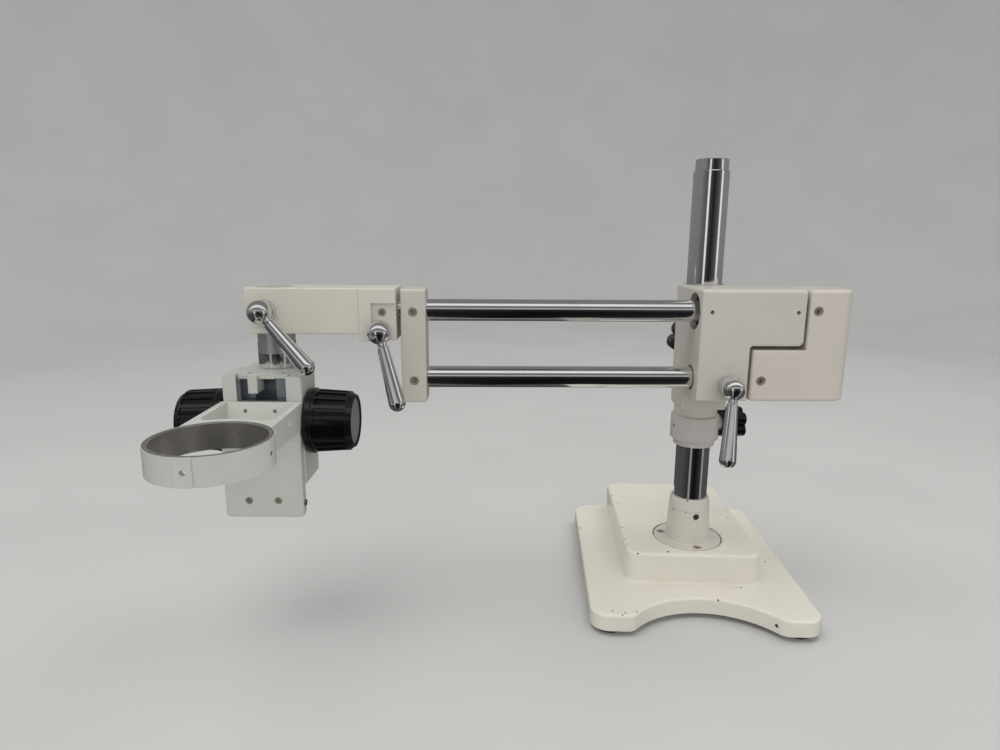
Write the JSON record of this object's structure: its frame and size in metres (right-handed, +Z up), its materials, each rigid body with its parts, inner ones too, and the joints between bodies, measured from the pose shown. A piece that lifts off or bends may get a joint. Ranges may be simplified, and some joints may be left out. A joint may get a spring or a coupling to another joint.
{
  "type": "double-arm boom stand with focus mount",
  "caption": "Bench boom stand: heavy base, chrome column, sliding two-rod arm with counterweight, and a tilting rack-and-pinion focus mount ending in an empty clamping ring for an optical head.",
  "frame": {"origin": "column axis at the level of the bench top", "axes": "+Z up along the column, -X along the boom towards the head ring, -Y towards the side with the lock levers"},
  "size_m": [0.5747, 0.3832, 0.4165],
  "materials": {
    "base_paint": "light cream gloss paint, chipped at the edges",
    "arm_paint": "ivory satin paint",
    "front_arm_paint": "painted ivory, satin",
    "weight_paint": "ivory paint, slightly pinker than the carrier",
    "collar_paint": "painted pinkish grey-cream",
    "focus_paint": "painted pale grey-green white; ring bore bare machined",
    "chrome": "polished",
    "bearing_steel": "ground",
    "zinc_steel": "plated",
    "dark_steel": "oxidised",
    "bronze": "sintered",
    "brass": "machined",
    "rubber": "matt",
    "black_plastic": "moulded, gloss",
    "knob_disc": "flat grey disc",
    "bearing_plastic": "natural acetal"
  },
  "bodies": {
    "base": {"base_casting": "base_paint", "rubber_feet": "rubber", "foot_screws": "zinc_steel", "column_socket": "base_paint", "socket_flange_screws": "dark_steel", "socket_grub_screw": "dark_steel", "column_tube": "chrome", "column_plug": "chrome"},
    "collar": {"stop_collar": "collar_paint", "collar_clamp_pad": "brass", "collar_set_screw": "dark_steel"},
    "collar_knob_unit": {"collar_knob": "black_plastic", "collar_knob_stud": "zinc_steel"},
    "washer": {"thrust_washer": "bearing_plastic"},
    "carrier": {"boom_carrier": "arm_paint", "column_bushes": "bronze", "linear_bearings": "bearing_steel", "bearing_seals": "rubber", "lower_rod_bushes": "bronze", "bearing_set_screws": "dark_steel", "rod_clamp_pad": "brass", "column_clamp_pad": "brass"},
    "arm_lock": {"arm_lock_lever": "chrome", "arm_lock_stud": "zinc_steel"},
    "column_lock": {"column_lock_knob": "black_plastic", "column_lock_stud": "zinc_steel"},
    "sliding_arm": {"upper_rod": "chrome", "lower_rod": "chrome", "end_block": "arm_paint", "end_block_screws": "dark_steel", "counterweight": "weight_paint", "counterweight_screws": "dark_steel"},
    "front_arm_unit": {"front_arm": "front_arm_paint", "tilt_retaining_screw": "dark_steel", "pin_clamp_pad": "brass"},
    "tilt_lock": {"tilt_lock_lever": "chrome", "tilt_lock_stud": "zinc_steel"},
    "pin_lock": {"pin_lock_lever": "chrome", "pin_lock_stud": "zinc_steel"},
    "focus_body": {"mount_pin": "chrome", "pin_bolt": "dark_steel", "focus_housing": "focus_paint", "channel_cap": "focus_paint", "cap_screws": "dark_steel", "gib_strip": "bearing_steel", "gib_screws": "dark_steel", "pinion_bushes": "bronze"},
    "focus_shaft": {"pinion_shaft": "bearing_steel", "focus_knob_right": "black_plastic", "focus_knob_left": "black_plastic", "knob_discs": "knob_disc", "knob_washers": "bearing_plastic"},
    "head_ring": {"ring_carrier": "focus_paint", "ring_plate": "focus_paint", "dovetail_slide": "bearing_steel", "focus_rack": "brass", "slide_screws": "dark_steel", "ring_set_screws": "dark_steel", "plate_side_screw": "zinc_steel"}
  },
  "joints": [
    {"name": "collar_height", "type": "slide", "parent": "base", "child": "collar", "axis": [0, 0, 1], "range_m": [-0.05, 0]},
    {"name": "collar_knob_turn", "type": "hinge", "parent": "collar", "child": "collar_knob_unit", "pos_m": [0.04, 0, 0.1705], "axis": [1, 0, 0], "range_deg": [0, 360]},
    {"name": "boom_swivel", "type": "hinge", "parent": "collar", "child": "washer", "pos_m": [0, 0, 0.18], "axis": [0, 0, 1], "continuous": true},
    {"name": "boom_height", "type": "slide", "parent": "washer", "child": "carrier", "axis": [0, 0, 1], "range_m": [0, 0.1]},
    {"name": "arm_lock_turn", "type": "hinge", "parent": "carrier", "child": "arm_lock", "pos_m": [0.0056, -0.0795, 0.222], "axis": [0, -1, 0], "range_deg": [0, 120]},
    {"name": "column_lock_turn", "type": "hinge", "parent": "carrier", "child": "column_lock", "pos_m": [0, 0.04, 0.247], "axis": [0, 1, 0], "range_deg": [0, 360]},
    {"name": "arm_reach", "type": "slide", "parent": "carrier", "child": "sliding_arm", "axis": [1, 0, 0], "range_m": [0, 0.23]},
    {"name": "front_arm_tilt", "type": "hinge", "parent": "sliding_arm", "child": "front_arm_unit", "pos_m": [-0.296, -0.043, 0.284], "axis": [1, 0, 0], "range_deg": [-90, 15]},
    {"name": "tilt_lock_turn", "type": "hinge", "parent": "front_arm_unit", "child": "tilt_lock", "pos_m": [-0.2932, -0.075, 0.2683], "axis": [0, -1, 0], "range_deg": [0, 120]},
    {"name": "pin_lock_turn", "type": "hinge", "parent": "front_arm_unit", "child": "pin_lock", "pos_m": [-0.3904, -0.0762, 0.285], "axis": [0, -1, 0], "range_deg": [0, 120]},
    {"name": "head_swing", "type": "hinge", "parent": "front_arm_unit", "child": "focus_body", "pos_m": [-0.3878, -0.043, 0.28], "axis": [0, 0, 1], "range_deg": [-135, 45]},
    {"name": "focus_knob_turn", "type": "hinge", "parent": "focus_body", "child": "focus_shaft", "pos_m": [-0.38851, -0.06999, 0.192], "axis": [0.9997, -0.0262, 0], "range_deg": [-45, 153]},
    {"name": "focus_travel", "type": "slide", "parent": "focus_body", "child": "head_ring", "axis": [0, 0, 1], "range_m": [-0.017, 0.005]}
  ],
  "couplings": [
    {"joint": "focus_knob_turn", "follows": "focus_travel", "rad_per_m": -156.25}
  ]
}
